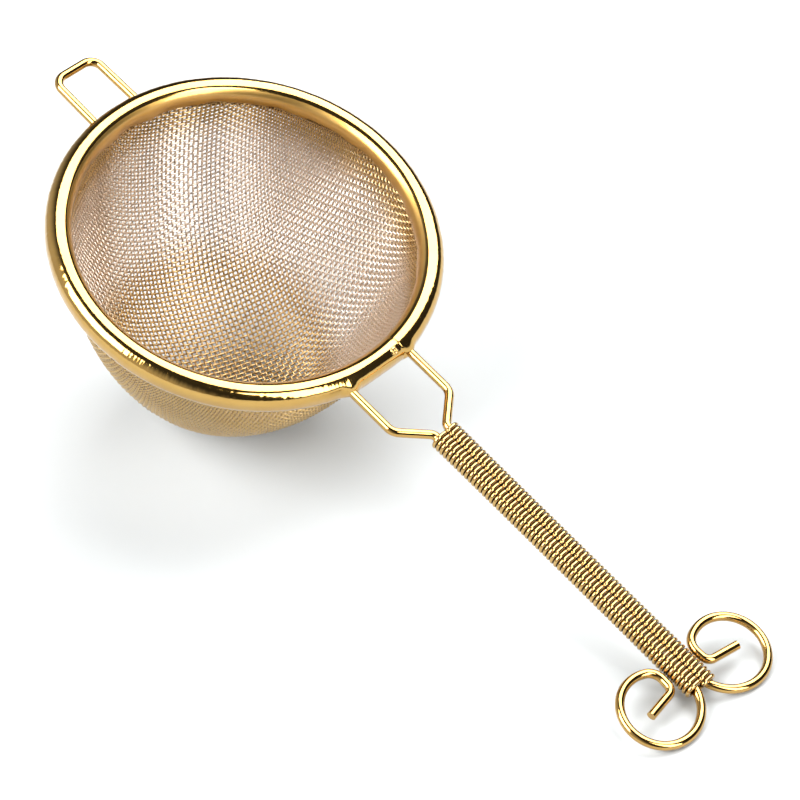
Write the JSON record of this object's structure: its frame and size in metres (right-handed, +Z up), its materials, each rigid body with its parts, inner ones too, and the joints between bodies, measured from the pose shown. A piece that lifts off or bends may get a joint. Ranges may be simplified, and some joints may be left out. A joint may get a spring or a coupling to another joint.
{
  "type": "fine-mesh bar strainer",
  "caption": "Round woven-mesh strainer bowl in a rolled rim, on a straight handle of two bent wires bound with close-wound wire, with scroll ends and a U-shaped rest loop opposite.",
  "frame": {"origin": "centre of the overall box in X and Y, on the table plane the strainer rests on", "axes": "+X from the bowl towards the scroll end of the handle, +Z up from the table, +Y completes a right-handed frame. The strainer lies at rest on the bottom of its bowl and on its two scrolls, so its rim and handle slope down towards +X."},
  "size_m": [0.1888, 0.0856, 0.0704],
  "materials": {
    "rim_strip": "polished stainless steel strip, plated yellow gold",
    "weld": "smooth spot weld, plated over in yellow gold",
    "mesh": "plain-woven stainless steel wire cloth, plated pale gold",
    "frame_wire": "bright drawn stainless steel wire, plated yellow gold",
    "wrap_wire": "bright drawn stainless steel wire, close wound, plated yellow gold"
  },
  "bodies": {
    "root": {"rim_band": "rim_strip", "rim_weld": "weld", "mesh_bowl": "mesh", "frame_hoop": "frame_wire", "handle_wire_left": "frame_wire", "handle_wire_right": "frame_wire", "handle_wrap": "wrap_wire", "rest_loop": "frame_wire"}
  },
  "joints": []
}
